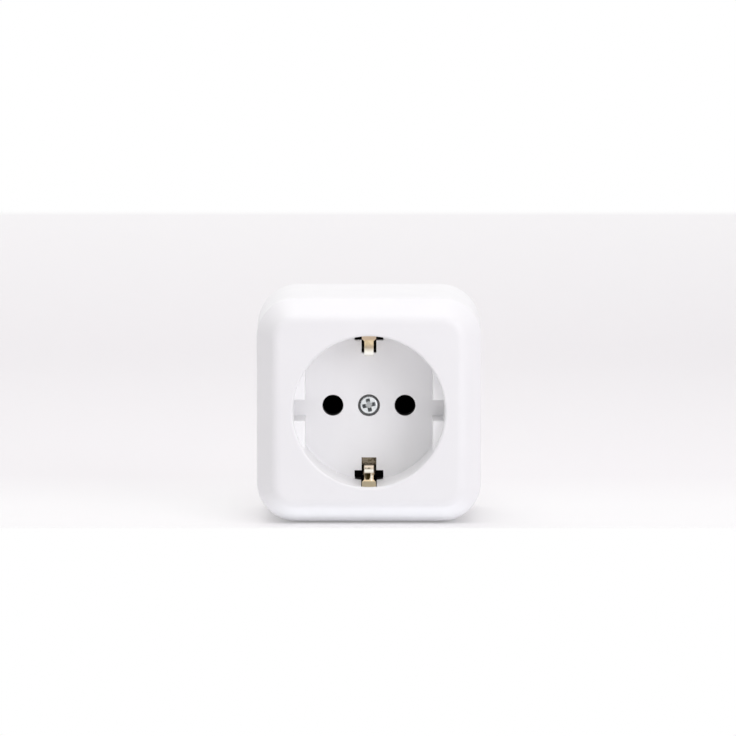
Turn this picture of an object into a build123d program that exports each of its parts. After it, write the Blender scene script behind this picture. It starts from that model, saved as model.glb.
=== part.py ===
"""Surface-mounted earthed socket: cover with plug well, insert with contacts, base plate.

The wall is the plane y = 0 and the front face looks along -Y. Heights are measured
from the wall towards the viewer, so a height of h lies at y = -h. X is to the
viewer's right and Z is up. The origin is the centre of the wall face.
"""

from build123d import *
import math
import os

# Plug well
well_diameter = 39.3
well_depth = 17.5
well_wall = 1.9
well_floor = 2.6
rim_radius = 0.7
key_reach = 3.05
key_gap = 5.4
key_drop = 3.4
key_edge_radius = 0.4

# Cover, outside: flat land round the well, bevel and drafted sides
cover_height = 47.0
wall_gap = 0.2
land_width = 4.85
bevel_run = 4.7
bevel_drop = 5.9
side_lean = 0.8
rear_corner_radius = 11.0
bevel_blend = 3.4
shoulder_blend = 1.6

# Cover, inside
side_wall = 2.2
front_wall = 2.6
breakout_width = 12.0
breakout_height = 11.0
breakout_skin = 0.9

# Plug pins and their holes
pin_pitch = 19.0
pin_hole_diameter = 5.4
pin_hole_chamfer = 0.3
chamfer_angle = 45.0
spout_wall = 1.5

# Earth slots in the well floor and the pockets that they run into; insets are taken
# from the well's wall towards its axis
slot_width = 3.9
slot_wide_width = 7.6
slot_wide_start_inset = 2.45
slot_wide_end_inset = 0.35
pocket_width = 4.1
pocket_depth = 3.15
pocket_wall = 1.3
pocket_lip = 1.1

# Earth clips: a strip bent from spring brass, placed by insets from the well's wall
clip_thickness = 0.6
clip_root_inset = 1.35
clip_root_width = 3.2
clip_strip_width = 2.4
clip_tip_width = 3.7
clip_knee_inset = 5.6
clip_knee_depth = 3.3
clip_knee_bend = 1.5
clip_neck_bend = 6.0
clip_valley_inset = 2.05
clip_valley_depth = 4.2
clip_valley_bend = 1.5
clip_tip_beyond = 0.55
clip_tip_depth = 1.9
clip_flare_start_inset = 1.55
clip_flare_end_inset = 0.95
clip_split_depth = 6.0
clip_taper_length = 3.0
clip_outer_side = Side.RIGHT
clip_foot_gap = 0.1
clip_slot_clearance = 0.25

# Cover screw, its ring and its seat
cover_screw_diameter = 3.0
cover_screw_head_diameter = 4.7
cover_screw_head_height = 1.7
screw_head_edge = 0.35
cover_screw_engagement = 4.4
screw_recess_diameter = 5.8
screw_sink = 0.25
screw_hole_diameter = 3.5
screw_pad_diameter = 9.0
screw_pad_thickness = 0.7
cross_span = 3.6
cross_width = 1.05
cross_depth = 1.25
cross_taper = 36.0
slot_recess_width = 0.8
slot_recess_depth = 0.7
driver_angle = -12.0
ring_diameter = 5.2
ring_thickness = 0.9
ring_gap = 0.15

# Stack of the insert behind the well floor
strap_gap = 2.2
strap_thickness = 1.0
strap_spout_gap = 1.3
strap_shoulder_inset = 3.3
strap_end_margin = 0.4
shroud_thickness = 1.6
shroud_hole_clearance = 0.3
tongue_margin = 0.15
running_clearance = 0.05
collar_wall = 1.0
collar_length = 2.4
collar_clearance = 0.3

# Base plate
plate_thickness = 2.4
plate_clearance = 0.3
plate_rim_width = 1.2
plate_rim_height = 2.0
wall_slot_margin = 5.5
wall_slot_width = 4.4
wall_slot_length = 8.0
cable_hole_width = 19.0
cable_hole_height = 11.0
cable_hole_margin = 2.0
cable_collar_wall = 1.2
cable_collar_height = 1.6
post_height = 2.8
post_diameter = 7.0

# Contact carrier
chamber_width = 10.0
chamber_length = 9.0
carrier_side_wall = 2.5
carrier_corner = 2.5
carrier_floor = 2.8
carrier_screw_wall = 1.2
deck_side_wall = 2.0
deck_margin = 1.6
deck_gap = 2.8
deck_edge_margin = 6.0
pocket_front_wall = 1.4
channel_width = 2.8

# Contacts and terminals
fit_gap = 0.2
contact_thickness = 1.0
leaf_thickness = 0.7
leaf_width = 6.0
leaf_root_offset = 3.0
leaf_pinch_offset = 2.15
leaf_flare_offset = 3.3
leaf_pinch_share = 0.77
leaf_top_gap = 0.3
leaf_bend = 2.0
leaf_foot_gap = 0.1
earth_terminal_x = 6.5
terminal_wall = 0.9
terminal_pad_length = 9.0
terminal_pocket_width = 8.6
link_width = 2.4
clamp_size = 7.4
clamp_thickness = 1.2
clamp_seat_gap = 0.1
clamp_travel = 2.1
clamp_bore_clearance = 0.1
wire_groove_radius = 0.9
wire_groove_offset = 2.75
wire_groove_depth = 0.35
terminal_screw_diameter = 3.5
terminal_screw_head_diameter = 5.6
terminal_screw_head_height = 2.0
terminal_screw_reach = 2.2
rivet_diameter = 2.4
rivet_head_diameter = 4.2
rivet_head_height = 0.7
strap_rivet_place = 8.5
strap_rivet_reach = 5.0
carrier_screw_inset = 4.2
carrier_screw_z = 9.3
carrier_screw_diameter = 3.0
carrier_screw_hole_clearance = 0.2
carrier_screw_head_diameter = 5.6
carrier_screw_head_height = 1.9
carrier_screw_bore_floor = 4.0
carrier_screw_bite = 4.0

# One overrun serves all cuts, and one slack serves the picking of edges
overrun = 1.0
pick_slack = 0.05

# Heights above the wall that several pieces share
floor_front = cover_height - well_depth
floor_back = floor_front - well_floor
strap_front = floor_back - strap_gap
strap_back = strap_front - strap_thickness
shroud_back = strap_back - shroud_thickness
carrier_back = plate_thickness + post_height
contact_back = carrier_back + carrier_floor
contact_front = contact_back + contact_thickness
clamp_seat = contact_front + clamp_seat_gap
deck_front = clamp_seat + clamp_thickness + clamp_travel + deck_margin
screw_tip = strap_front - cover_screw_engagement - collar_clearance

# Distances from the well's axis
well_radius = well_diameter / 2
rear_half = well_radius + land_width + bevel_run + side_lean
plate_half = rear_half - side_wall - plate_clearance
pocket_reach = well_radius + pocket_depth
slot_wide_start = well_radius - slot_wide_start_inset
slot_wide_end = well_radius - slot_wide_end_inset
clip_root_radius = well_radius - clip_root_inset
clip_knee_radius = well_radius - clip_knee_inset
clip_tip_radius = well_radius + clip_tip_beyond
pin_x = pin_pitch / 2
spout_radius = pin_hole_diameter / 2 + spout_wall
strap_half_width = pin_x - spout_radius - strap_spout_gap
strap_shoulder = well_radius - strap_shoulder_inset
tongue_half_width = slot_wide_width / 2 + tongue_margin
link_place = pin_x + chamber_width / 2 - channel_width / 2
carrier_half_width = pin_x + chamber_width / 2 + carrier_side_wall
carrier_screw_x = carrier_half_width - carrier_screw_inset
carrier_screw_head_radius = carrier_screw_head_diameter / 2 + carrier_screw_hole_clearance
carrier_top = carrier_screw_z + carrier_screw_head_radius + carrier_screw_wall
deck_bottom = side_wall + deck_gap - rear_half
terminal_z = deck_bottom + deck_edge_margin
carrier_bottom = terminal_z + deck_edge_margin
pole_terminal_x = earth_terminal_x + terminal_pocket_width + terminal_wall
support_post_x = (earth_terminal_x + pole_terminal_x) / 2
pole_pad_top = carrier_bottom - pocket_front_wall
earth_leg_top = carrier_bottom - fit_gap
earth_leg_x = earth_terminal_x - clamp_size / 2 - fit_gap - strap_thickness
cable_hole_place = plate_half - cable_hole_height / 2 - cable_hole_margin
wall_slot_x = plate_half - wall_slot_margin

# Turns
draft_angle = math.degrees(math.atan2(side_lean, cover_height - bevel_drop))
driver_turn = Rotation(0, driver_angle, 0)


def level(height):
    """Plane parallel to the wall, looking at the viewer, with X across and Z up."""
    return Plane.XZ.offset(height)


def block(x_low, x_high, z_low, z_high, low, high):
    """Plain prism between two heights."""
    middle = Pos((x_low + x_high) / 2, (z_low + z_high) / 2)
    return extrude(level(low) * middle * Rectangle(x_high - x_low, z_high - z_low), amount=high - low)


def rod(x, z, radius, low, high):
    """Round bar along the depth axis between two heights."""
    return extrude(level(low) * Pos(x, z) * Circle(radius), amount=high - low)


def mirrored(shape):
    """The shape reflected across the horizontal plane through the origin."""
    return mirror(shape, about=Plane.XY)


def at_height(shape, height):
    """Edges of a shape that lie flat at one height."""
    return shape.edges().filter_by_position(Axis.Y, -height - pick_slack, pick_slack - height)


def save(name, shape):
    """Write one sub-part to its own file."""
    export_step(shape, f"parts/{name}.step")


def tapered_shell_form(inset, low, high, corner_radius):
    """Drafted rounded-square block, inset from the cover's outer faces."""
    start = side_lean * low / (cover_height - bevel_drop)
    side = 2 * (rear_half - start - inset)
    outline = RectangleRounded(side, side, corner_radius - start - inset)
    return extrude(level(low) * outline, amount=high - low, taper=draft_angle)


def cover_body():
    """Outer form of the cover: drafted sides, sloping bevel and soft blends."""
    body = tapered_shell_form(0, wall_gap, cover_height, rear_corner_radius)
    front = body.faces().sort_by(Axis.Y)[0]
    body = chamfer(front.edges(), bevel_run, bevel_drop, reference=front)
    front = body.faces().sort_by(Axis.Y)[0]
    body = fillet(front.edges(), bevel_blend)
    shoulder = at_height(body, cover_height - bevel_drop)
    return fillet(shoulder, shoulder_blend)


def cover_cavity():
    """Hollow of the cover behind its front wall."""
    inner_top = cover_height - front_wall
    cavity = tapered_shell_form(side_wall, 0, inner_top, rear_corner_radius)
    front = cavity.faces().sort_by(Axis.Y)[0]
    return chamfer(front.edges(), bevel_run, bevel_drop, reference=front)


def well_tube():
    """Tube and floor of the plug well with its earth-clip channels, still without openings."""
    tube = rod(0, 0, well_radius + well_wall, floor_back, cover_height - front_wall)
    half_width = pocket_width / 2 + pocket_wall
    reach = pocket_reach + pocket_wall
    channel = block(-half_width, half_width, -reach, reach, floor_back, cover_height - front_wall)
    return tube + channel


def plug_keys():
    """Key ribs left and right in the well, each split by the central groove."""
    tall = rod(0, 0, well_radius + well_wall / 2, floor_back, cover_height - key_drop)
    outside = well_radius + well_wall
    key = tall & block(well_radius - key_reach, outside, -well_radius, well_radius, floor_back, cover_height)
    gap = block(0, well_radius, -key_gap / 2, key_gap / 2, 0, cover_height)
    groove = gap & rod(0, 0, well_radius, floor_front, cover_height)
    key -= groove
    front_edges = at_height(key, cover_height - key_drop).filter_by(GeomType.LINE)
    key = fillet(front_edges, key_edge_radius)
    return key + mirror(key, about=Plane.YZ)


def earth_openings():
    """T-shaped slot through the floor and the pocket up the wall behind the rim."""
    low = floor_back - overrun
    high = floor_front + overrun
    half_narrow = slot_width / 2
    half_wide = slot_wide_width / 2
    half_pocket = pocket_width / 2
    inner_end = clip_knee_radius - clip_slot_clearance
    narrow = block(-half_narrow, half_narrow, inner_end, slot_wide_start, low, high)
    wide = block(-half_wide, half_wide, slot_wide_start, slot_wide_end, low, high)
    under_lip = cover_height - pocket_lip
    pocket = block(-half_pocket, half_pocket, slot_wide_start, pocket_reach, low, under_lip)
    return narrow + wide + pocket


def pin_holes():
    """Two pin holes with a small chamfer at the well floor."""
    holes = []
    for x in (-pin_x, pin_x):
        hole = rod(x, 0, pin_hole_diameter / 2, shroud_back, floor_front + overrun)
        mouth = level(floor_front) * Pos(x, 0) * Circle(pin_hole_diameter / 2 + pin_hole_chamfer)
        holes.append(hole + extrude(mouth, amount=-pin_hole_chamfer, taper=chamfer_angle))
    return holes


def screw_seat_cuts():
    """Recess for the head of the cover screw and the hole for its shank."""
    seat = floor_front - screw_sink - cover_screw_head_height
    recess = rod(0, 0, screw_recess_diameter / 2, seat, floor_front + overrun)
    passage = rod(0, 0, screw_hole_diameter / 2, strap_front, seat)
    return recess + passage


def breakout_cuts():
    """Thinned fields in the top and bottom walls that are broken out for a cable."""
    half = breakout_width / 2
    inside = rear_half - side_wall - overrun
    field = block(-half, half, inside, rear_half, 0, breakout_height)
    field = field & tapered_shell_form(breakout_skin, 0, breakout_height + overrun, rear_corner_radius)
    return field + mirrored(field)


def cover():
    """The one-piece moulded cover."""
    spout_end = strap_back + fit_gap
    floor_middle = floor_back + well_floor / 2
    part = cover_body() - cover_cavity()
    part += well_tube()
    for x in (-pin_x, pin_x):
        part += rod(x, 0, spout_radius, spout_end, floor_middle)
    part += rod(0, 0, screw_pad_diameter / 2, floor_back - screw_pad_thickness, floor_middle)
    part -= rod(0, 0, well_radius, floor_front, cover_height + overrun)
    part += plug_keys()
    circles = at_height(part, cover_height).filter_by(GeomType.CIRCLE)
    rim = [edge for edge in circles if abs(edge.radius - well_radius) < pick_slack]
    part = fillet(rim, rim_radius)
    part -= earth_openings()
    part -= mirrored(earth_openings())
    for hole in pin_holes():
        part -= hole
    part -= screw_seat_cuts()
    part -= breakout_cuts()
    return part


def cover_screw():
    """Cheese-head screw with a cross recess, held captive in the cover."""
    top = floor_front - screw_sink
    seat = top - cover_screw_head_height
    head = rod(0, 0, cover_screw_head_diameter / 2, seat, top)
    head = fillet(at_height(head, top), screw_head_edge)
    shank = rod(0, 0, cover_screw_diameter / 2, strap_front - cover_screw_engagement, seat)
    return head + shank - driver_recess(top)


def driver_recess(top):
    """Tapered cross recess in the cover screw's head, turned as the screw sits."""
    reach = cross_span / 2
    low = top - cross_depth
    bar = block(-reach, reach, -cross_width / 2, cross_width / 2, low, top + overrun)
    cone = extrude(level(top) * Circle(reach), amount=-cross_depth, taper=cross_taper)
    cross = (bar + Rotation(0, 90, 0) * bar) & (cone + rod(0, 0, reach, top, top + overrun))
    return driver_turn * cross


def driver_slot(head_diameter, top):
    """Straight slot right across a screw head."""
    reach = head_diameter / 2 + overrun
    half = slot_recess_width / 2
    return block(-reach, reach, -half, half, top - slot_recess_depth, top + overrun)


def cover_screw_ring():
    """Ring that grips the shank behind the well floor and keeps the screw captive."""
    top = floor_back - screw_pad_thickness - ring_gap
    ring = rod(0, 0, ring_diameter / 2, top - ring_thickness, top)
    return ring - rod(0, 0, cover_screw_diameter / 2, 0, cover_height)


def base_plate():
    """Plate that is screwed to the wall and carries the insert."""
    corner = rear_corner_radius - side_wall - plate_clearance
    outline = RectangleRounded(2 * plate_half, 2 * plate_half, corner)
    inner_half = plate_half - plate_rim_width
    inner_outline = RectangleRounded(2 * inner_half, 2 * inner_half, corner - plate_rim_width)
    plate = extrude(level(0) * outline, amount=plate_thickness + plate_rim_height)
    plate -= extrude(level(plate_thickness) * inner_outline, amount=plate_rim_height)
    plate += cable_frame(cable_collar_wall, 0, plate_thickness + cable_collar_height)
    for x, z in post_places():
        plate += rod(x, z, post_diameter / 2, 0, carrier_back)
    plate -= cable_frame(0, -overrun, cover_height)
    for x in (-wall_slot_x, wall_slot_x):
        slot = SlotOverall(wall_slot_length, wall_slot_width)
        plate -= extrude(level(-overrun) * Pos(x, 0) * slot, amount=carrier_back)
    pilot = carrier_screw_diameter / 2
    for x in (-carrier_screw_x, carrier_screw_x):
        plate -= rod(x, carrier_screw_z, pilot, carrier_back - carrier_screw_bite, carrier_back)
    return plate


def cable_frame(margin, low, high):
    """Upright-edged oblong round the rear cable hole, widened by a margin."""
    oblong = SlotOverall(cable_hole_width + 2 * margin, cable_hole_height + 2 * margin)
    return extrude(level(low) * Pos(0, cable_hole_place) * oblong, amount=high - low)


def post_places():
    """Centres of the posts under the carrier: two for its screws and two plain ones."""
    screws = [(x, carrier_screw_z) for x in (-carrier_screw_x, carrier_screw_x)]
    plain = [(x, terminal_z) for x in (-support_post_x, support_post_x)]
    return screws + plain


def contact_carrier():
    """Moulded block with a chamber for each pole and three terminal pockets."""
    body = extrude(level(carrier_back) * carrier_outline(), amount=shroud_back - carrier_back)
    half_deck = pole_terminal_x + terminal_pocket_width / 2 + deck_side_wall
    deck_top = carrier_bottom + carrier_corner
    body += block(-half_deck, half_deck, deck_bottom, deck_top, carrier_back, deck_front)
    for side in (-1, 1):
        body -= chamber_cut(side)
        body -= terminal_cut(side * pole_terminal_x, pole_pad_top)
    body -= terminal_cut(earth_terminal_x, carrier_bottom)
    body -= rod(0, 0, collar_radius(cover_screw_diameter) + collar_clearance, screw_tip, shroud_back)
    body -= earth_leg_cut()
    for x in (-carrier_screw_x, carrier_screw_x):
        body -= carrier_screw_cut(x)
    for z in (-strap_rivet_place, strap_rivet_place):
        body -= rod(0, z, rivet_diameter / 2, strap_back - strap_rivet_reach, shroud_back)
    return body


def carrier_outline():
    """Rounded outline that the carrier's tall part and the shroud share."""
    outline = RectangleRounded(2 * carrier_half_width, carrier_top - carrier_bottom, carrier_corner)
    return Pos(0, (carrier_top + carrier_bottom) / 2) * outline


def collar_radius(screw_diameter):
    """Outer radius of the drawn, threaded collar for a screw."""
    return screw_diameter / 2 + running_clearance + collar_wall


def chamber_cut(side):
    """Contact chamber round one pin, its channel to the terminal and its rivet hole."""
    x = side * pin_x
    half = chamber_width / 2
    cut = block(x - half, x + half, -chamber_length / 2, chamber_length / 2, contact_back, shroud_back)
    link_low = side * link_place - channel_width / 2
    link_high = side * link_place + channel_width / 2
    cut += block(link_low, link_high, pole_pad_top - overrun, 0, contact_back, shroud_back)
    cut += rod(x, 0, rivet_diameter / 2, carrier_back, contact_back)
    return cut + rod(x, 0, rivet_head_diameter / 2, carrier_back, carrier_back + rivet_head_height)


def terminal_cut(x, top):
    """Pocket round one terminal, open downwards for the conductors, and its collar hole."""
    half = terminal_pocket_width / 2
    pocket = block(x - half, x + half, deck_bottom - overrun, top, contact_back, deck_front)
    collar_hole = collar_radius(terminal_screw_diameter) + collar_clearance
    return pocket + rod(x, terminal_z, collar_hole, carrier_back, deck_front)


def earth_leg_cut():
    """Groove beside the earth pocket for the leg of the earth strap."""
    low_x = earth_leg_x - fit_gap
    low_z = -strap_shoulder - fit_gap
    return block(low_x, earth_terminal_x, low_z, carrier_bottom, contact_back, deck_front)


def carrier_screw_cut(x):
    """Counterbored hole for one of the screws that hold the carrier."""
    floor = carrier_back + carrier_screw_bore_floor
    hole_radius = carrier_screw_diameter / 2 + carrier_screw_hole_clearance
    hole = rod(x, carrier_screw_z, hole_radius, carrier_back, floor)
    return hole + rod(x, carrier_screw_z, carrier_screw_head_radius, floor, shroud_back)


def carrier_screws():
    """Two pan-head screws from the front of the carrier into the base plate."""
    seat = carrier_back + carrier_screw_bore_floor
    top = seat + carrier_screw_head_height
    screws = []
    for x in (-carrier_screw_x, carrier_screw_x):
        head = rod(x, carrier_screw_z, carrier_screw_head_diameter / 2, seat, top)
        head = fillet(at_height(head, top), carrier_screw_head_height / 2)
        shank = rod(x, carrier_screw_z, carrier_screw_diameter / 2, carrier_back - carrier_screw_bite, seat)
        screws.append(head + shank)
    return Compound(children=screws)


def contact_shroud():
    """Insulating plate over the contact chambers, with a tongue behind each earth slot."""
    plate = extrude(level(shroud_back) * carrier_outline(), amount=shroud_thickness)
    half = tongue_half_width
    plate += block(-half, half, -well_radius, well_radius, shroud_back, strap_back)
    notch_x = earth_leg_x - fit_gap
    notch_z = -strap_shoulder - fit_gap
    plate -= block(notch_x, half, notch_z, carrier_bottom, shroud_back, strap_back)
    pin_passage = pin_hole_diameter / 2 + shroud_hole_clearance
    for x in (-pin_x, pin_x):
        plate -= rod(x, 0, pin_passage, shroud_back, strap_back)
    plate -= rod(0, 0, collar_radius(cover_screw_diameter) + collar_clearance, shroud_back, strap_back)
    for z in (-strap_rivet_place, strap_rivet_place):
        plate -= rod(0, z, rivet_diameter / 2, shroud_back, strap_back)
    for x in (-carrier_screw_x, carrier_screw_x):
        plate -= rod(x, carrier_screw_z, carrier_screw_head_radius, shroud_back, strap_back)
    return plate


def earth_strap():
    """Strap across the insert with the thread for the cover screw and the earth terminal."""
    half_length = clip_root_radius + strap_end_margin
    half = strap_half_width
    strap = block(-half, half, -strap_shoulder, strap_shoulder, strap_back, strap_front)
    half_end = clip_root_width / 2
    strap += block(-half_end, half_end, -half_length, half_length, strap_back, strap_front)
    strap += threaded_collar(0, 0, cover_screw_diameter, strap_back)
    leg_outside = earth_leg_x + strap_thickness
    leg_bottom = -strap_shoulder
    strap += block(earth_leg_x, leg_outside, leg_bottom, earth_leg_top, contact_back, strap_front)
    strap += block(earth_leg_x, earth_terminal_x, leg_bottom, earth_leg_top, contact_back, contact_front)
    strap += terminal_pad(earth_terminal_x, earth_leg_top)
    strap -= rod(0, 0, cover_screw_diameter / 2 + running_clearance, shroud_back - collar_length, strap_front)
    for z in (-strap_rivet_place, strap_rivet_place):
        strap -= rod(0, z, rivet_diameter / 2, strap_back, strap_front)
    return strap


def threaded_collar(x, z, screw_diameter, top):
    """Drawn collar behind a flat strip; its bore is cut with the strip's."""
    return rod(x, z, collar_radius(screw_diameter), top - collar_length, top)


def terminal_pad(x, top):
    """Flat pad with a collar and bore for a terminal screw."""
    half = clamp_size / 2
    low_z = terminal_z - terminal_pad_length / 2
    pad = block(x - half, x + half, low_z, top, contact_back, contact_front)
    pad += threaded_collar(x, terminal_z, terminal_screw_diameter, contact_back)
    bore = terminal_screw_diameter / 2 + running_clearance
    return pad - rod(x, terminal_z, bore, contact_back - collar_length, contact_front)


def pole_contact(side):
    """Flat stamped base of one pole, from the pin chamber to its terminal."""
    x = side * pin_x
    half = chamber_width / 2 - fit_gap
    half_length = chamber_length / 2 - fit_gap
    base = block(x - half, x + half, -half_length, half_length, contact_back, contact_front)
    link_x = side * link_place
    link_half = link_width / 2
    base += block(link_x - link_half, link_x + link_half, pole_pad_top, 0, contact_back, contact_front)
    base += terminal_pad(side * pole_terminal_x, pole_pad_top)
    return base - rod(x, 0, rivet_diameter / 2, contact_back, contact_front)


def contact_leaf(side, hand):
    """One sprung leaf of a pole's contact: it leans in to pinch the pin and flares out."""
    foot = contact_front + leaf_foot_gap
    top = shroud_back - leaf_top_gap
    pinch = foot + leaf_pinch_share * (top - foot)
    points = [(leaf_root_offset, foot), (leaf_pinch_offset, pinch), (leaf_flare_offset, top)]
    path = FilletPolyline(*[(hand * offset, -height) for offset, height in points], radius=leaf_bend)
    section = strip_section(path, leaf_thickness, Side.LEFT if hand > 0 else Side.RIGHT)
    leaf = extrude(section, amount=leaf_width / 2, both=True)
    return Pos(side * pin_x, 0, 0) * leaf


def contact_rivets():
    """Rivets that hold the two pole contacts to the carrier."""
    rivets = []
    for x in (-pin_x, pin_x):
        shank = rod(x, 0, rivet_diameter / 2, carrier_back, contact_front)
        head = rod(x, 0, rivet_head_diameter / 2, contact_front, contact_front + rivet_head_height)
        tail = rod(x, 0, rivet_head_diameter / 2, carrier_back, carrier_back + rivet_head_height)
        rivets.append(shank + head + tail)
    return Compound(children=rivets)


def strap_rivets():
    """Rivets that hold the earth strap and the shroud to the carrier."""
    rivets = []
    for z in (-strap_rivet_place, strap_rivet_place):
        shank = rod(0, z, rivet_diameter / 2, strap_back - strap_rivet_reach, strap_front)
        head = rod(0, z, rivet_head_diameter / 2, strap_front, strap_front + rivet_head_height)
        head = fillet(at_height(head, strap_front + rivet_head_height), rivet_head_height / 2)
        rivets.append(shank + head)
    return Compound(children=rivets)


def clamp_plate(x):
    """Square pressure plate of one terminal with a groove for a conductor on each side."""
    half = clamp_size / 2
    top = clamp_seat + clamp_thickness
    plate = block(x - half, x + half, terminal_z - half, terminal_z + half, clamp_seat, top)
    for offset in (-wire_groove_offset, wire_groove_offset):
        centre_height = clamp_seat + wire_groove_depth - wire_groove_radius
        groove = Plane.XY * Pos(x + offset, -centre_height) * Circle(wire_groove_radius)
        plate -= Pos(0, 0, terminal_z) * extrude(groove, amount=half + overrun, both=True)
    bore = terminal_screw_diameter / 2 + clamp_bore_clearance
    return plate - rod(x, terminal_z, bore, clamp_seat, top)


def terminal_screw(x):
    """Slotted cheese-head screw of one terminal."""
    seat = clamp_seat + clamp_thickness + running_clearance
    top = seat + terminal_screw_head_height
    head = rod(x, terminal_z, terminal_screw_head_diameter / 2, seat, top)
    head = fillet(at_height(head, top), screw_head_edge)
    shank = rod(x, terminal_z, terminal_screw_diameter / 2, contact_back - terminal_screw_reach, seat)
    return head + shank - Pos(x, 0, terminal_z) * driver_slot(terminal_screw_head_diameter, top)


def strip_section(path, thickness, side):
    """Section of a bent strip: a path along one of its faces, thickened to one side."""
    return Face(path.wires()[0].offset_2d(distance=thickness, side=side, closed=True))


def tangent_point(point, centre, radius, turn):
    """Point where a line from an outside point touches a circle, on the chosen side."""
    reach = centre - point
    lean = math.degrees(math.asin(radius / reach.length))
    length = math.sqrt(reach.length**2 - radius**2)
    return point + reach.normalized().rotate(Axis.Z, turn * lean) * length


def clip_path():
    """Line of the clip's contact face, as minus height against distance from the well's axis."""
    face_radius = clip_root_radius - clip_thickness / 2
    foot = Vector(-strap_front - clip_foot_gap, face_radius)
    neck = Vector(-floor_front, face_radius)
    knee_height = cover_height - clip_knee_depth
    centre = Vector(clip_knee_bend - knee_height, clip_knee_radius + clip_knee_bend)
    valley = Vector(clip_valley_depth - cover_height, well_radius - clip_valley_inset)
    tip = Vector(clip_tip_depth - cover_height, clip_tip_radius)
    rise_end = tangent_point(neck, centre, clip_knee_bend, 1)
    fall_start = tangent_point(valley, centre, clip_knee_bend, -1)
    crown = centre - Vector(clip_knee_bend, clip_knee_bend).normalized() * clip_knee_bend
    rise = FilletPolyline(foot, neck, rise_end, radius=clip_neck_bend)
    bend = ThreePointArc(rise_end, crown, fall_start)
    fall = FilletPolyline(fall_start, valley, tip, radius=clip_valley_bend)
    return rise + bend + fall


def outline_from_half(points):
    """Closed outline from the points of its right half, mirrored to the left."""
    left = [(-u, v) for u, v in reversed(points)]
    return Polygon(*points, *left, align=None)


def earth_clip():
    """Upper earth clip: a strip that rises, bends to a rounded knee and tucks behind the rim."""
    section = Plane.YZ * strip_section(clip_path(), clip_thickness, clip_outer_side)
    bar = extrude(section, amount=clip_tip_width / 2, both=True)
    split = cover_height - clip_split_depth
    rise = outline_from_half(
        [
            (clip_root_width / 2, -strap_front),
            (clip_root_width / 2, -floor_back),
            (clip_strip_width / 2, -floor_front - clip_taper_length),
            (clip_strip_width / 2, -split),
        ]
    )
    rise = extrude(rise, amount=clip_tip_radius + clip_thickness, both=True)
    flare = outline_from_half(
        [
            (clip_strip_width / 2, 0),
            (clip_strip_width / 2, well_radius - clip_flare_start_inset),
            (clip_tip_width / 2, well_radius - clip_flare_end_inset),
            (clip_tip_width / 2, pocket_reach),
        ]
    )
    flare = extrude(level(split) * flare, amount=cover_height - split)
    return bar & (rise + flare)


def build_all():
    """Every sub-part by name."""
    pieces = {
        "cover": cover(),
        "cover_screw": cover_screw(),
        "cover_screw_ring": cover_screw_ring(),
        "base_plate": base_plate(),
        "contact_carrier": contact_carrier(),
        "carrier_screws": carrier_screws(),
        "contact_shroud": contact_shroud(),
        "contact_rivets": contact_rivets(),
        "earth_strap": earth_strap(),
        "strap_rivets": strap_rivets(),
        "earth_clip_top": earth_clip(),
        "earth_clip_bottom": mirrored(earth_clip()),
    }
    for pole, side in (("live", -1), ("neutral", 1)):
        pieces[f"{pole}_contact"] = pole_contact(side)
        for place, hand in (("left", -1), ("right", 1)):
            pieces[f"{pole}_leaf_{place}"] = contact_leaf(side, hand)
    terminals = {"live": -pole_terminal_x, "earth": earth_terminal_x, "neutral": pole_terminal_x}
    for name, x in terminals.items():
        pieces[f"{name}_clamp_plate"] = clamp_plate(x)
        pieces[f"{name}_terminal_screw"] = terminal_screw(x)
    return pieces


os.makedirs("parts", exist_ok=True)
for name, piece in build_all().items():
    save(name, piece)
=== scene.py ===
"""Looks of the surface-mounted socket: materials, stage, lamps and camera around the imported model."""
import bpy
import math
from collections import namedtuple
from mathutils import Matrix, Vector


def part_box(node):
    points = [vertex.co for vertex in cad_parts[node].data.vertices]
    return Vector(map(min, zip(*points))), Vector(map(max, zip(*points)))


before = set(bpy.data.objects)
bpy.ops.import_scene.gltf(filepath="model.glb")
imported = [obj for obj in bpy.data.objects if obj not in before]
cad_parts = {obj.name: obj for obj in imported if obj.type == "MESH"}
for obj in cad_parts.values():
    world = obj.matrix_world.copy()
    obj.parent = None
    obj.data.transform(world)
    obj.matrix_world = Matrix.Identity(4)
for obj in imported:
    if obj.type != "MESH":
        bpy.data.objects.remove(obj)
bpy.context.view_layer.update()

# Photograph: size of its frame and place of the well's rim in it, in pixels
photo_size = 736
focal_pixels = 3864.0
rim_px = 368.95
rim_py = 412.1

# Camera: sensor in millimetres, distance in metres, elevation in degrees
sensor_width = 36.0
camera_distance = 1.0
camera_elevation = 5.9

# All that follows is in metres. Y grows inwards, so a depth is added to a place on Y.
# Cover, well and cover screw, from the frame
cover_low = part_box("cover")[0]
front_y = cover_low.y
screw_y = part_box("cover_screw")[0].y
head_sink = 0.00025
floor_y = screw_y - head_sink
well_radius = 0.01965
well_margin = 0.0001
rim_depths = (0.0006, 0.002)
grain_depths = (-0.0006, -0.0001)

# Pin holes
pin_x = 0.0095
pin_hole_radius = 0.0027
pin_hole_margin = 0.00005
pin_hole_depths = (0.00008, 0.00022)
pin_mouth_radii = (0.00262, 0.00318)
pin_mouth_soft = 0.00006

# Pockets behind the earth slots, joint round the screw's head, and driver recess
pocket_half_x = (0.0036, 0.0038)
pocket_reach = (0.0189, 0.0235)
pocket_soft = 0.0001
pocket_depths = (-0.0022, -0.0012)
seat_radii = (0.00237, 0.00292)
seat_soft = 0.00002
seat_depth = 0.0003
recess_radii = (0.00188, 0.00198)
recess_depths = (0.0001, 0.0003)

# Contact chambers, and the ends of the earth strap along Z
chamber_inner_x = (0.0044, 0.0047)
chamber_half_z = (0.0043, 0.0052)
strap_top_z = (0.0122, 0.0132)
strap_foot_z = (-0.0163, -0.0158)
strap_bare_z = (-0.0132, -0.0122)

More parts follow.
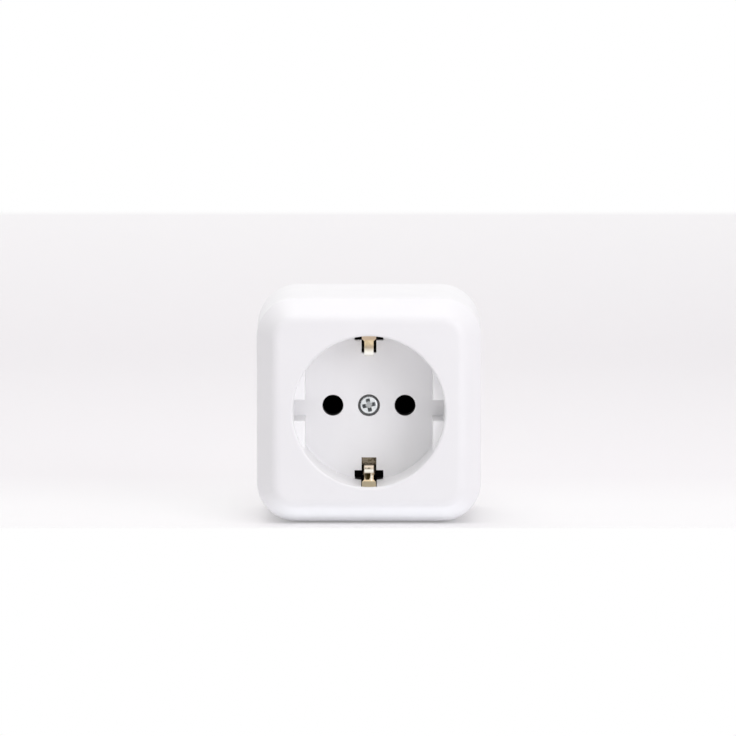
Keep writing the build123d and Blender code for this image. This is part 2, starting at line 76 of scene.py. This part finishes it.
# Earth clips: reach is the distance from the middle of the well, up or down
foot_reach = (0.0142, 0.0144)
dent_reach = (0.01485, 0.0152)
dent_reach_soft = 0.00008
dent_x = (-0.00095, 0.00035)
crest_reach = (0.0151, 0.0155)
valley_shade_reach = (0.0163, 0.0181)
valley_shade_reach_soft = 0.00012
valley_shade_x = -0.0004
valley_shade_taper_reach = (0.0174, 0.0182)
valley_shade_half_widths = (0.00080, 0.00045)
valley_shade_edge = (-0.00012, 0.00008)
valley_shade_slope_x = (-0.0009, -0.0004)
gleam_x = (0.00045, 0.0009)
gleam_reach = (0.0165, 0.0183)
gleam_reach_soft = 0.0002
tip_reach = (0.0182, 0.0186)
stripe_soft = 0.0001

# Stage; side_draft is in degrees, and a share of one is paper that is lit out to white
side_draft = 1.1
floor_half_width = 2.2
floor_front = -1.6
floor_back = 0.55
sweep_radius = 0.45
backdrop_height = 1.4
sweep_steps = 24
floor_gap = 0.0005
backdrop_fade = (0.0528, 0.0556)
floor_fade = (-0.0497, -0.0537)
glow_start = 0.004
glow_share = (0.04, 0.38)
front_start = 0.09
front_share = (0.275, 0.5)
side_fade = (0.026, 0.040)
card_width = 0.062
card_rise = 0.00006

Axes = namedtuple("Axes", "x y z")


def look_at(obj, target):
    """Turns a lamp or camera so that its -Z axis points at the target."""
    aim = Vector(target) - obj.location
    obj.rotation_euler = aim.to_track_quat("-Z", "Y").to_euler()


def new_material(name, color, roughness, metallic=0.0):
    """A Principled material and the node tree that its details are added to."""
    material = bpy.data.materials.new(name)
    material.use_nodes = True
    tree = material.node_tree
    shader = tree.nodes["Principled BSDF"]
    shader.inputs["Base Color"].default_value = (*color, 1.0)
    shader.inputs["Roughness"].default_value = roughness
    shader.inputs["Metallic"].default_value = metallic
    return material, tree, shader


def object_point(tree, stretch=(1.0, 1.0, 1.0)):
    """The shaded point in the part's frame, stretched per axis."""
    place = tree.nodes.new("ShaderNodeTexCoord")
    mapping = tree.nodes.new("ShaderNodeMapping")
    mapping.inputs["Scale"].default_value = stretch
    tree.links.new(place.outputs["Object"], mapping.inputs["Vector"])
    return mapping.outputs["Vector"]


def axes(tree, vector):
    """The X, Y and Z sockets of a vector."""
    node = tree.nodes.new("ShaderNodeSeparateXYZ")
    tree.links.new(vector, node.inputs["Vector"])
    return Axes(*(node.outputs[axis] for axis in "XYZ"))


def noise(tree, point, scale, detail, distortion=0.0):
    """Fractal noise at a scale given in features per metre."""
    node = tree.nodes.new("ShaderNodeTexNoise")
    node.inputs["Scale"].default_value = scale
    node.inputs["Detail"].default_value = detail
    node.inputs["Distortion"].default_value = distortion
    tree.links.new(point, node.inputs["Vector"])
    return node.outputs["Fac"]


def remap(tree, value, source, target=(0.0, 1.0)):
    """A value carried from one range to another and clamped."""
    node = tree.nodes.new("ShaderNodeMapRange")
    node.clamp = True
    for name, number in zip(("From Min", "From Max", "To Min", "To Max"), (*source, *target)):
        node.inputs[name].default_value = number
    tree.links.new(value, node.inputs["Value"])
    return node.outputs["Result"]


def below(tree, value, source):
    """One up to the range's start, falling to nought at its end."""
    return remap(tree, value, source, (1.0, 0.0))


def deep(tree, y, place, depths):
    """Nought in front of a place on Y, rising to one between two depths behind it."""
    return remap(tree, y, [place + depth for depth in depths])


def banded(tree, value, band, soft):
    """One between two values, with soft edges, and nought elsewhere."""
    start, end = band
    rise = remap(tree, value, (start - soft, start + soft))
    fall = below(tree, value, (end - soft, end + soft))
    return product(tree, rise, fall)


def mix_colors(tree, factor, first, second):
    """Blend of two colours, each a plain one or a socket, by a factor."""
    node = tree.nodes.new("ShaderNodeMix")
    node.data_type = "RGBA"
    tree.links.new(factor, node.inputs["Factor"])
    for name, value in (("A", first), ("B", second)):
        socket = [s for s in node.inputs if s.name == name and s.type == "RGBA"][0]
        if isinstance(value, bpy.types.NodeSocket):
            tree.links.new(value, socket)
        else:
            socket.default_value = (*value, 1.0)
    return [s for s in node.outputs if s.type == "RGBA"][0]


def math_node(tree, operation, first, second=0.0):
    """One arithmetic step between two sockets or numbers."""
    node = tree.nodes.new("ShaderNodeMath")
    node.operation = operation
    for index, value in enumerate((first, second)):
        if isinstance(value, bpy.types.NodeSocket):
            tree.links.new(value, node.inputs[index])
        else:
            node.inputs[index].default_value = value
    return node.outputs["Value"]


def combined(tree, operation, values):
    """One operation carried through a row of sockets and numbers."""
    result = values[0]
    for value in values[1:]:
        result = math_node(tree, operation, result, value)
    return result


def product(tree, *values):
    """All the values multiplied."""
    return combined(tree, "MULTIPLY", values)


def total(tree, *values):
    """All the values added."""
    return combined(tree, "ADD", values)


def greatest(tree, *values):
    """The greatest of the values."""
    return combined(tree, "MAXIMUM", values)


def size_of(tree, value):
    """A value without its sign."""
    return math_node(tree, "ABSOLUTE", value)


def radius_from(tree, x, z, centre=(0.0, 0.0)):
    """Distance from an axis that runs into the wall at the centre's X and Z."""
    across = math_node(tree, "SUBTRACT", x, centre[0])
    up = math_node(tree, "SUBTRACT", z, centre[1])
    squares = total(tree, math_node(tree, "POWER", across, 2.0), math_node(tree, "POWER", up, 2.0))
    return math_node(tree, "POWER", squares, 0.5)


def add_bump(tree, shader, height, strength, distance, under=None):
    """Bump on a shader from a height socket, on top of an earlier bump."""
    node = tree.nodes.new("ShaderNodeBump")
    node.inputs["Strength"].default_value = strength
    node.inputs["Distance"].default_value = distance
    tree.links.new(height, node.inputs["Height"])
    if under is not None:
        tree.links.new(under, node.inputs["Normal"])
    tree.links.new(node.outputs["Normal"], shader.inputs["Normal"])
    return node.outputs["Normal"]


def pin_hole_shade(tree, at, pin_radius):
    """One deep inside the two pin holes and nought at their mouths."""
    inside = math_node(tree, "LESS_THAN", pin_radius, pin_hole_radius + pin_hole_margin)
    return product(tree, inside, deep(tree, at.y, floor_y, pin_hole_depths))


def chamber_shade(tree, at):
    """Painted shade: one inside the two contact chambers, which darkens the brass there."""
    outward = remap(tree, size_of(tree, at.x), chamber_inner_x)
    middle = below(tree, size_of(tree, at.z), chamber_half_z)
    return product(tree, outward, middle)


def slot_shade(tree, at):
    """Painted shade: one low in the two pockets behind the earth slots."""
    across = below(tree, size_of(tree, at.x), pocket_half_x)
    outward = banded(tree, size_of(tree, at.z), pocket_reach, pocket_soft)
    return product(tree, across, outward, deep(tree, at.y, floor_y, pocket_depths))


def seat_shade(tree, at):
    """Painted shade, half dark, in the joint round the cover screw's head."""
    seat_shade_strength = 0.55
    joint = banded(tree, radius_from(tree, at.x, at.z), seat_radii, seat_soft)
    return product(tree, joint, remap(tree, at.y, (floor_y, floor_y + seat_depth), (0.0, seat_shade_strength)))


def recess_shade(tree, at, radius):
    """Painted shade: dark on the walls of the driver recess, half dark on its floor."""
    wall_dark, floor_dark = 0.88, 0.42
    place = tree.nodes.new("ShaderNodeTexCoord")
    facing_out = size_of(tree, axes(tree, place.outputs["Normal"]).y)
    dark = remap(tree, facing_out, (0.3, 0.9), (wall_dark, floor_dark))
    within = below(tree, radius, recess_radii)
    return product(tree, dark, within, deep(tree, at.y, screw_y, recess_depths))


def strap_shade(tree, at):
    """Painted shade: dark on the upper end of the earth strap and at the foot of the lower clip."""
    upper_dark, foot_dark = 0.96, 0.6
    upper = remap(tree, at.z, strap_top_z, (0.0, upper_dark))
    foot = remap(tree, at.z, strap_foot_z, (foot_dark, 0.0))
    return greatest(tree, upper, foot)


def strap_tarnish(tree, at):
    """Full on the strap's lower end, which the earth slot lays open, and light on the rest."""
    light = 0.25
    return remap(tree, at.z, strap_bare_z, (1.0, light))


def white_cover_material():
    """Satin moulded white: faint flow clouding and a finely grained well floor, with painted light: the well
    lighter than the outside, a painted highlight round the pin holes' mouths, and painted shade in the pin
    holes, the slot pockets and the joint round the screw's head.
    """
    outside = (0.860, 0.857, 0.870)
    painted_well_white = (0.955, 0.955, 0.962)
    clouded = (0.80, 0.80, 0.82)
    wear_and_highlight = (0.995, 0.995, 0.998)
    painted_shade_black = (0.012, 0.011, 0.011)
    cloud_share = 0.16
    floor_matt, shade_matt, rubbed_matt = 0.08, 0.4, -0.14
    material, tree, shader = new_material("cover_satin_white", outside, roughness=0.35)
    shader.inputs["IOR"].default_value = 1.46
    point = object_point(tree)
    at = axes(tree, point)

    inside = math_node(tree, "LESS_THAN", radius_from(tree, at.x, at.z), well_radius + well_margin)
    in_well = product(tree, inside, deep(tree, at.y, front_y, rim_depths))
    on_floor = product(tree, deep(tree, at.y, floor_y, grain_depths), inside)
    pin_radius = radius_from(tree, size_of(tree, at.x), at.z, (pin_x, 0.0))
    mouth = banded(tree, pin_radius, pin_mouth_radii, pin_mouth_soft)
    # Painted shade: the pin holes, the pockets behind the earth slots and the joint round the screw's head
    # go towards black.
    dark = greatest(tree, pin_hole_shade(tree, at, pin_radius), slot_shade(tree, at), seat_shade(tree, at))

    clouds = remap(tree, noise(tree, point, scale=55.0, detail=2.0, distortion=0.6), (0.35, 0.7))
    # Painted light: the well gets a lighter white than the outside of the same moulding.
    color = mix_colors(tree, in_well, outside, painted_well_white)
    color = mix_colors(tree, product(tree, clouds, cloud_share), color, clouded)
    # Painted highlight: a lighter ring round each pin hole's mouth, which the pins have also rubbed
    # smoother.
    color = mix_colors(tree, mouth, color, wear_and_highlight)
    tree.links.new(mix_colors(tree, dark, color, painted_shade_black), shader.inputs["Base Color"])

    smudges = remap(tree, noise(tree, point, scale=140.0, detail=4.0), (0.35, 0.75), (0.34, 0.44))
    roughness = total(tree, smudges, product(tree, on_floor, floor_matt), product(tree, dark, shade_matt),
                      product(tree, mouth, rubbed_matt))
    tree.links.new(roughness, shader.inputs["Roughness"])

    flow = noise(tree, point, scale=420.0, detail=2.0)
    peel = add_bump(tree, shader, flow, strength=0.03, distance=0.0002)
    grain = product(tree, noise(tree, point, scale=5200.0, detail=2.0), on_floor)
    add_bump(tree, shader, grain, strength=0.25, distance=0.00006, under=peel)
    return material


def matt_plastic_material(name, color, shade, roughness, specular=0.5):
    """Fine-grained moulded plastic for the pieces behind the cover."""
    polished, scuffed = -0.08, 0.1
    material, tree, shader = new_material(name, color, roughness)
    shader.inputs["Specular IOR Level"].default_value = specular
    point = object_point(tree)
    clouds = remap(tree, noise(tree, point, scale=90.0, detail=4.0, distortion=0.4), (0.3, 0.75))
    tree.links.new(mix_colors(tree, clouds, color, shade), shader.inputs["Base Color"])
    handled = noise(tree, point, scale=300.0, detail=5.0)
    worn = remap(tree, handled, (0.3, 0.8), (roughness + polished, roughness + scuffed))
    tree.links.new(worn, shader.inputs["Roughness"])
    fine = noise(tree, point, scale=2600.0, detail=3.0)
    grain = add_bump(tree, shader, fine, strength=0.3, distance=0.0001)
    waves = noise(tree, point, scale=160.0, detail=2.0)
    add_bump(tree, shader, waves, strength=0.12, distance=0.0004, under=grain)
    return material


def add_rolled_finish(tree, shader, point, lines, roughness, dulled):
    """Rolling lines and handling marks of sheet brass, in its roughness and its bump."""
    line_spread, mark_spread = 0.16, 0.1
    handling = noise(tree, point, scale=900.0, detail=4.0)
    rolled = noise(tree, lines, scale=1500.0, detail=2.0)
    spread = total(tree, product(tree, rolled, line_spread), roughness - line_spread / 2,
                   product(tree, handling, mark_spread), dulled)
    tree.links.new(spread, shader.inputs["Roughness"])
    streaks = add_bump(tree, shader, rolled, strength=0.18, distance=0.00004)
    add_bump(tree, shader, handling, strength=0.12, distance=0.00006, under=streaks)


def brass_material(name, bright, dull, roughness, stretch, shade_of, tarnish_scale=320.0, tarnish_of=None):
    """Rolled brass strip: a thin brown tarnish in patches, and painted shade where shade_of says."""
    painted_shade_black = (0.010, 0.008, 0.006)
    shade_matt = 0.4
    material, tree, shader = new_material(name, bright, roughness, metallic=1.0)
    point = object_point(tree)
    at = axes(tree, point)
    patches = noise(tree, point, tarnish_scale, detail=5.0, distortion=1.2)
    tarnish = remap(tree, patches, (0.42, 0.72))
    if tarnish_of is not None:
        tarnish = product(tree, tarnish, tarnish_of(tree, at))
    metal = mix_colors(tree, tarnish, bright, dull)
    shade = shade_of(tree, at)
    tree.links.new(mix_colors(tree, shade, metal, painted_shade_black), shader.inputs["Base Color"])
    lines = object_point(tree, stretch)
    add_rolled_finish(tree, shader, point, lines, roughness, product(tree, shade, shade_matt))
    return material


def clip_material(name, knee_color, knee_fade, tip_color, marks_and_painted_light):
    """Sprung brass clip: near white at the knee, partly from rubbing and partly as a painted highlight, and
    tarnished at the flared end.

    The share brings in what is drawn on the lower clip: painted shade in the valley with a painted highlight
    beside it, small dents on the knee and painted shade at its foot.
    """
    tan = (0.86, 0.70, 0.475)
    brown = (0.69, 0.55, 0.34)
    crest_highlight_color = (1.0, 0.965, 0.87)
    gleam_color = (1.0, 0.95, 0.84)
    valley_shade_colors = (0.13, 0.10, 0.06), (0.030, 0.020, 0.004)
    foot_color = (0.07, 0.05, 0.025)
    dent_color = (0.20, 0.17, 0.12)
    roughness, tip_matt = 0.42, 0.12
    material, tree, shader = new_material(name, tan, roughness, metallic=1.0)
    point = object_point(tree)
    at = axes(tree, point)
    reach = size_of(tree, at.z)

    patches = noise(tree, point, scale=520.0, detail=5.0, distortion=1.2)
    metal = mix_colors(tree, remap(tree, patches, (0.40, 0.72)), tan, brown)
    # Partly rubbing and partly painted highlight: the knee goes towards near white, lighter still at its
    # crest.
    wear_and_highlight = mix_colors(tree, remap(tree, reach, crest_reach), knee_color, crest_highlight_color)
    metal = mix_colors(tree, below(tree, reach, knee_fade), metal, wear_and_highlight)
    tip = remap(tree, reach, tip_reach)
    metal = mix_colors(tree, tip, metal, tip_color)

    # Painted highlight: a light stripe beside the valley's painted shade on the lower clip.
    gleam = product(tree, banded(tree, at.x, gleam_x, stripe_soft),
                    banded(tree, reach, gleam_reach, gleam_reach_soft), marks_and_painted_light)
    metal = mix_colors(tree, gleam, metal, gleam_color)

    # Painted shade: a dark patch in the lower clip's valley, narrowing towards the flared end.
    offset = size_of(tree, math_node(tree, "SUBTRACT", at.x, valley_shade_x))
    half_width = remap(tree, reach, valley_shade_taper_reach, valley_shade_half_widths)
    beside = math_node(tree, "SUBTRACT", offset, half_width)
    valley_shade = product(tree, below(tree, beside, valley_shade_edge),
                    banded(tree, reach, valley_shade_reach, valley_shade_reach_soft), marks_and_painted_light)
    valley_shade_color = mix_colors(tree, remap(tree, at.x, valley_shade_slope_x), *valley_shade_colors)
    metal = mix_colors(tree, valley_shade, metal, valley_shade_color)

    # Painted shade at the lower clip's foot.
    foot = product(tree, below(tree, reach, foot_reach), marks_and_painted_light)
    metal = mix_colors(tree, foot, metal, foot_color)
    specks = remap(tree, noise(tree, point, scale=1900.0, detail=2.0), (0.40, 0.48))
    dents = product(tree, banded(tree, reach, dent_reach, dent_reach_soft),
                    banded(tree, at.x, dent_x, stripe_soft), specks, marks_and_painted_light)
    tree.links.new(mix_colors(tree, dents, metal, dent_color), shader.inputs["Base Color"])

    lines = object_point(tree, (1.0, 0.05, 0.05))
    add_rolled_finish(tree, shader, point, lines, roughness, product(tree, tip, tip_matt))
    return material


def plated_steel_material(name, centre, bright=(0.56, 0.58, 0.59), blued=(0.40, 0.43, 0.46), recessed=False):
    """Zinc-plated steel: bright grey with turning marks round its centre, blueing and worn patches."""
    recess_color = (0.035, 0.037, 0.040)
    radians_per_metre = 42000.0
    material, tree, shader = new_material(name, bright, roughness=0.3, metallic=1.0)
    point = object_point(tree)
    at = axes(tree, point)
    patches = noise(tree, point, scale=700.0, detail=4.0, distortion=0.5)
    metal = mix_colors(tree, remap(tree, patches, (0.4, 0.7)), bright, blued)
    radius = radius_from(tree, at.x, at.z, centre)
    if recessed:
        metal = mix_colors(tree, recess_shade(tree, at, radius), metal, recess_color)
    tree.links.new(metal, shader.inputs["Base Color"])
    pitted = noise(tree, point, scale=2600.0, detail=3.0)
    tree.links.new(remap(tree, pitted, (0.3, 0.75), (0.2, 0.42)), shader.inputs["Roughness"])
    rings = math_node(tree, "SINE", product(tree, radius, radians_per_metre))
    turned = add_bump(tree, shader, rings, strength=0.06, distance=0.00002)
    add_bump(tree, shader, pitted, strength=0.15, distance=0.00004, under=turned)
    return material


def assign(node_name, material):
    """Gives a CAD node its finish."""
    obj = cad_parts[node_name]
    for slot in obj.material_slots:
        slot.material = material


def axis_of(node_name):
    """Centre of a round piece across the depth axis, as X and Z."""
    low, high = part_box(node_name)
    return (low.x + high.x) / 2, (low.z + high.z) / 2


def dress_mouldings():
    """The cover, the base plate and the other plastic pieces."""
    assign("cover", white_cover_material())
    plate = matt_plastic_material("plate_matt_white", (0.80, 0.80, 0.79), (0.74, 0.74, 0.73), roughness=0.45)
    assign("base_plate", plate)
    dark = matt_plastic_material("thermoset_black", (0.006, 0.005, 0.005), (0.003, 0.0028, 0.0026),
                                 roughness=0.6, specular=0.12)
    for name in ("contact_carrier", "contact_shroud"):
        assign(name, dark)
    nylon = matt_plastic_material("nylon_natural", (0.76, 0.72, 0.62), (0.68, 0.64, 0.54), roughness=0.4)
    assign("cover_screw_ring", nylon)


def dress_brass():
    """The contacts, their leaves, the rivets, the earth strap and the two earth clips."""
    stamped = brass_material("brass_stamped", (0.66, 0.53, 0.36), (0.38, 0.28, 0.16), roughness=0.32,
                             stretch=(1.0, 1.0, 0.06), shade_of=chamber_shade)
    for name in ("contact_rivets", "strap_rivets", "live_contact", "neutral_contact"):
        assign(name, stamped)
    browned = brass_material("brass_browned", (0.50, 0.43, 0.33), (0.045, 0.033, 0.016), roughness=0.4,
                             stretch=(0.05, 1.0, 1.0), shade_of=strap_shade, tarnish_scale=1000.0,
                             tarnish_of=strap_tarnish)
    assign("earth_strap", browned)
    sprung = brass_material("brass_sprung", (0.82, 0.68, 0.49), (0.60, 0.47, 0.31), roughness=0.26,
                            stretch=(1.0, 0.05, 0.05), shade_of=chamber_shade)
    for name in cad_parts:
        if "leaf" in name:
            assign(name, sprung)
    top_clip = clip_material("brass_clip_top", knee_color=(1.0, 0.975, 0.93), knee_fade=(0.0154, 0.0171),
                             tip_color=(0.70, 0.57, 0.44), marks_and_painted_light=0.0)
    assign("earth_clip_top", top_clip)
    bottom_clip = clip_material("brass_clip_bottom", knee_color=(0.67, 0.58, 0.475),
                                knee_fade=(0.0161, 0.0165), tip_color=(0.41, 0.355, 0.25), marks_and_painted_light=1.0)
    assign("earth_clip_bottom", bottom_clip)


def dress_steel():
    """The cover screw, the carrier's screws, the clamp plates and the terminal screws."""
    cover_screw = plated_steel_material("steel_cover_screw", axis_of("cover_screw"),
                                        bright=(0.93, 0.95, 0.96), blued=(0.74, 0.77, 0.80), recessed=True)
    assign("cover_screw", cover_screw)
    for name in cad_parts:
        if ("screw" in name and not name.startswith("cover_screw")) or "clamp_plate" in name:
            assign(name, plated_steel_material(f"steel_{name}", axis_of(name)))


def stage_profile():
    """Points of the floor, the sweep and the backdrop, as Y and Z before the tilt."""
    points = [(floor_front, 0.0), (floor_back, 0.0)]
    for step in range(1, sweep_steps + 1):
        angle = math.radians(90.0) * step / sweep_steps
        points.append((floor_back + sweep_radius * math.sin(angle), sweep_radius * (1 - math.cos(angle))))
    points.append((floor_back + sweep_radius, backdrop_height))
    return points


def make_stage():
    """Pale seamless floor and backdrop; the floor follows the drafted underside of the cover."""
    vertices = [(x, y, z) for y, z in stage_profile() for x in (-floor_half_width, floor_half_width)]
    faces = [(index, index + 1, index + 3, index + 2) for index in range(0, len(vertices) - 2, 2)]
    mesh = bpy.data.meshes.new("stage")
    mesh.from_pydata(vertices, [], faces)
    for polygon in mesh.polygons:
        polygon.use_smooth = True
    stage = bpy.data.objects.new("stage", mesh)
    bpy.context.scene.collection.objects.link(stage)
    stage.rotation_euler = (-math.radians(side_draft), 0.0, 0.0)
    stage.location = (0.0, 0.0, cover_low.z - floor_gap)
    mesh.materials.append(stage_material())


def lit_out_share(tree, at):
    """All of the paper far up the backdrop and near the camera, and a part of it in between."""
    high = remap(tree, at.z, backdrop_fade)
    near = remap(tree, at.y, floor_fade)
    rising = remap(tree, at.z, (glow_start, backdrop_fade[0]), glow_share)
    # Lit out more beside the cover, which lightens its shadow on the paper there.
    beside = remap(tree, size_of(tree, at.x), side_fade, front_share)
    front = product(tree, below(tree, at.y, (0.0, front_start)), beside)
    return greatest(tree, high, near, rising, front)


def stage_material():
    """White paper, lit out towards white where the camera or a reflection sees it."""
    paper = (0.880, 0.864, 0.878)
    material, tree, shader = new_material("stage_paper", paper, roughness=0.6)
    point = object_point(tree)
    fibre = noise(tree, point, scale=900.0, detail=4.0)
    tree.links.new(remap(tree, fibre, (0.3, 0.7), (0.5, 0.62)), shader.inputs["Roughness"])
    ray = tree.nodes.new("ShaderNodeLightPath")
    seen = greatest(tree, ray.outputs["Is Camera Ray"], ray.outputs["Is Glossy Ray"],
                    ray.outputs["Is Transmission Ray"])
    white = product(tree, lit_out_share(tree, axes(tree, point)), seen)
    glow = tree.nodes.new("ShaderNodeEmission")
    blend = tree.nodes.new("ShaderNodeMixShader")
    tree.links.new(white, blend.inputs[0])
    tree.links.new(shader.outputs["BSDF"], blend.inputs[1])
    tree.links.new(glow.outputs["Emission"], blend.inputs[2])
    tree.links.new(blend.outputs["Shader"], tree.nodes["Material Output"].inputs["Surface"])
    return material


def new_lamp(name, power, size, color):
    """Soft lamp that the camera doesn't see."""
    light = bpy.data.lights.new(name, "AREA")
    light.energy = power
    light.size = size
    light.color = color
    lamp = bpy.data.objects.new(name, light)
    lamp.visible_camera = False
    bpy.context.scene.collection.objects.link(lamp)
    return lamp


def hang_softbox(name, direction, distance, size, power, color):
    """Square lamp that looks at the well from an azimuth and elevation in degrees."""
    azimuth, elevation = (math.radians(angle) for angle in direction)
    away = Vector((
        math.sin(azimuth) * math.cos(elevation),
        -math.cos(azimuth) * math.cos(elevation),
        math.sin(elevation),
    ))
    lamp = new_lamp(name, power, size, color)
    target = Vector((0.0, front_y, 0.0))
    lamp.location = target + away * distance
    look_at(lamp, target)


def lay_card(name, front, back, power, color):
    """Small card on the paper below the cover's lower bevel, which it lights from underneath."""
    card = new_lamp(name, power, card_width, color)
    card.data.shape = "RECTANGLE"
    card.data.size_y = back - front
    middle = (front + back) / 2
    height = cover_low.z - floor_gap + card_rise - middle * math.tan(math.radians(side_draft))
    card.location = (0.0, middle, height)
    card.rotation_euler = (math.radians(180.0 - side_draft), 0.0, 0.0)


def make_lights():
    """Soft boxes to the right, overhead and behind, low cards in front, and a pale room."""
    room_color = (1.0, 0.997, 1.0, 1.0)
    room_strength = 0.61
    hang_softbox("right_softbox", direction=(38.0, 12.0), distance=1.2, size=0.6, power=3.0,
                 color=(0.965, 0.95, 1.0))
    hang_softbox("upper_right_softbox", direction=(42.0, 38.0), distance=1.2, size=0.6, power=0.94,
                 color=(1.0, 0.94, 0.99))
    hang_softbox("top_softbox", direction=(10.0, 75.0), distance=1.1, size=0.9, power=4.05,
                 color=(1.0, 0.986, 0.986))
    hang_softbox("rear_softbox", direction=(-150.0, 60.0), distance=1.3, size=0.9, power=2.77,
                 color=(1.0, 0.974, 0.974))
    lay_card("contact_card", front=-0.0475, back=-0.0440, power=0.00044, color=(0.90, 0.97, 1.0))
    lay_card("bevel_card", front=-0.0545, back=-0.0500, power=0.00012, color=(0.72, 0.93, 1.0))
    world = bpy.data.worlds.new("room")
    bpy.context.scene.world = world
    world.use_nodes = True
    background = world.node_tree.nodes["Background"]
    background.inputs["Color"].default_value = room_color
    background.inputs["Strength"].default_value = room_strength


def make_camera():
    """Camera at the photograph's angle; the rim's centre lands on its pixel."""
    camera = bpy.data.cameras.new("camera")
    camera.sensor_width = sensor_width
    camera.lens = sensor_width * focal_pixels / photo_size
    holder = bpy.data.objects.new("camera", camera)
    bpy.context.scene.collection.objects.link(holder)
    elevation = math.radians(camera_elevation)
    rim = Vector((0.0, front_y, 0.0))
    away = Vector((0.0, -math.cos(elevation), math.sin(elevation)))
    up = Vector((0.0, math.sin(elevation), math.cos(elevation)))
    across = Vector((1.0, 0.0, 0.0))
    metres_per_pixel = camera_distance / focal_pixels
    aim = rim + up * (rim_py - photo_size / 2) * metres_per_pixel
    aim -= across * (rim_px - photo_size / 2) * metres_per_pixel
    holder.location = rim + away * camera_distance
    look_at(holder, aim)
    bpy.context.scene.camera = holder


dress_mouldings()
dress_brass()
dress_steel()
make_stage()
make_lights()
make_camera()
bpy.context.scene.view_settings.view_transform = "Standard"
